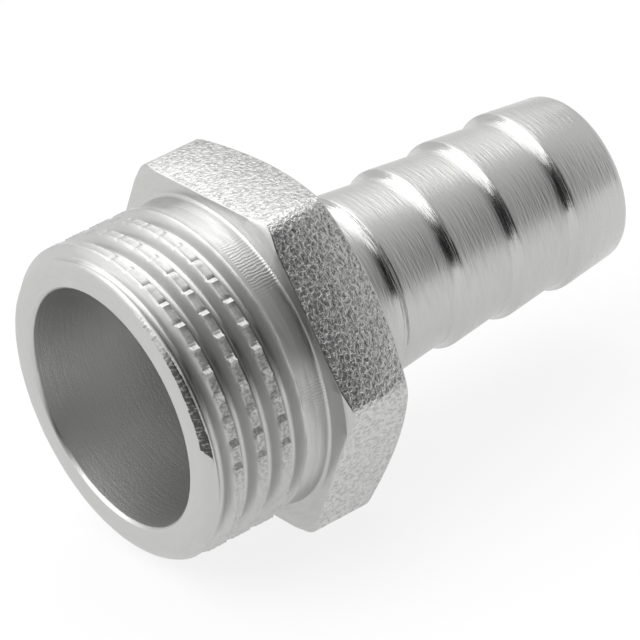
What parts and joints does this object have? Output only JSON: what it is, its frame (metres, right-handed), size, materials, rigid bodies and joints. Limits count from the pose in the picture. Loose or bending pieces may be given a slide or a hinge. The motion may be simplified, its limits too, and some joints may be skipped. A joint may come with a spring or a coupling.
{
  "type": "hose tail",
  "caption": "Male hose tail with a parallel pipe thread, a hexagon and a barbed tail, bored right through.",
  "frame": {"origin": "on the axis of the bore, in the plane of the seat, the turned face of the hexagon on the thread's side", "axes": "+X along the axis towards the free end of the barbed tail, +Z out of one flat of the hexagon, +Y along the hexagon's widest line; the piece lies on the flat that faces -Z"},
  "size_m": [0.0372, 0.025, 0.022],
  "materials": {
    "plated_brass": "nickel-plated brass: forged hexagon left pebbled, thread, tail and bore turned bright"
  },
  "bodies": {
    "root": {"hose_tail": "plated_brass"}
  },
  "joints": []
}
